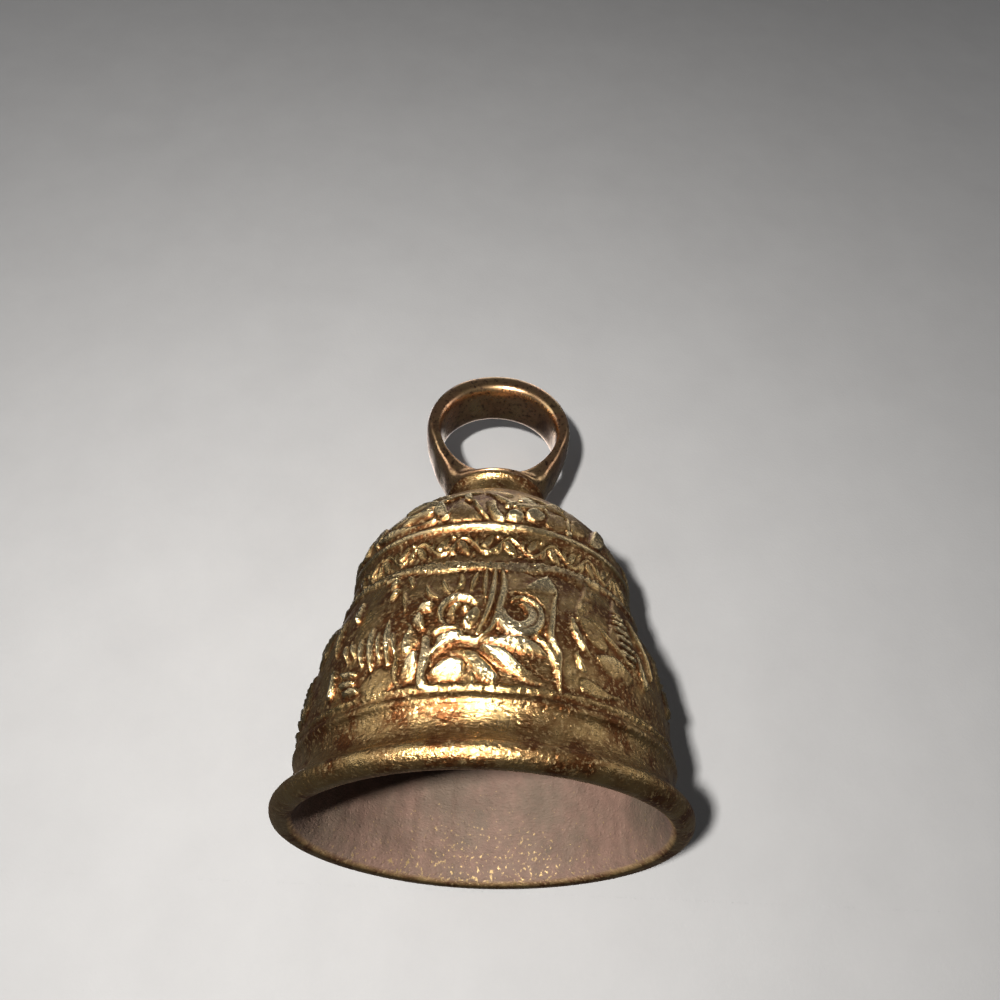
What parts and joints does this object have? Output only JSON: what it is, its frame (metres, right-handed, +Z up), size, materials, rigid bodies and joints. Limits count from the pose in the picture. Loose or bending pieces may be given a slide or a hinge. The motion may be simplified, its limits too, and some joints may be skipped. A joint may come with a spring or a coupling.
{
  "type": "hand bell",
  "caption": "Cast brass hand bell with a flared, ornamented body, a finger ring on top and a ball clapper hanging inside on a swivel.",
  "frame": {"origin": "centre of the mouth, in the plane the bell stands on", "axes": "+Z up the axis of the bell from mouth to finger ring, +Y through the finger hole from the front of the bell to its back, +X completes the right hand"},
  "size_m": [0.07, 0.07, 0.1118],
  "materials": {
    "bell_brass": "cast, patinated in the recesses, worn bright on the relief",
    "ring_brass": "cast and worn smooth, coppery patina",
    "washer_brass": "dull, tarnished",
    "fitting_steel": "turned, darkened with age",
    "wire_steel": "forged wire, darkened",
    "clapper_iron": "cast, brown with light rust"
  },
  "bodies": {
    "bell": {"bell_body": "bell_brass", "ring_handle": "ring_brass", "crown_washer": "washer_brass", "cap_nut": "fitting_steel"},
    "swivel": {"swivel_eye": "wire_steel"},
    "clapper": {"clapper_shank": "wire_steel", "clapper_ball": "clapper_iron", "clapper_tip": "fitting_steel"}
  },
  "joints": [
    {"name": "swivel_turn", "type": "hinge", "parent": "bell", "child": "swivel", "pos_m": [0, 0, 0.0588], "axis": [0, 0, 1], "continuous": true},
    {"name": "clapper_swing", "type": "hinge", "parent": "swivel", "child": "clapper", "pos_m": [0, 0, 0.0504], "axis": [1, 0, 0], "range_deg": [-43, 43]}
  ]
}
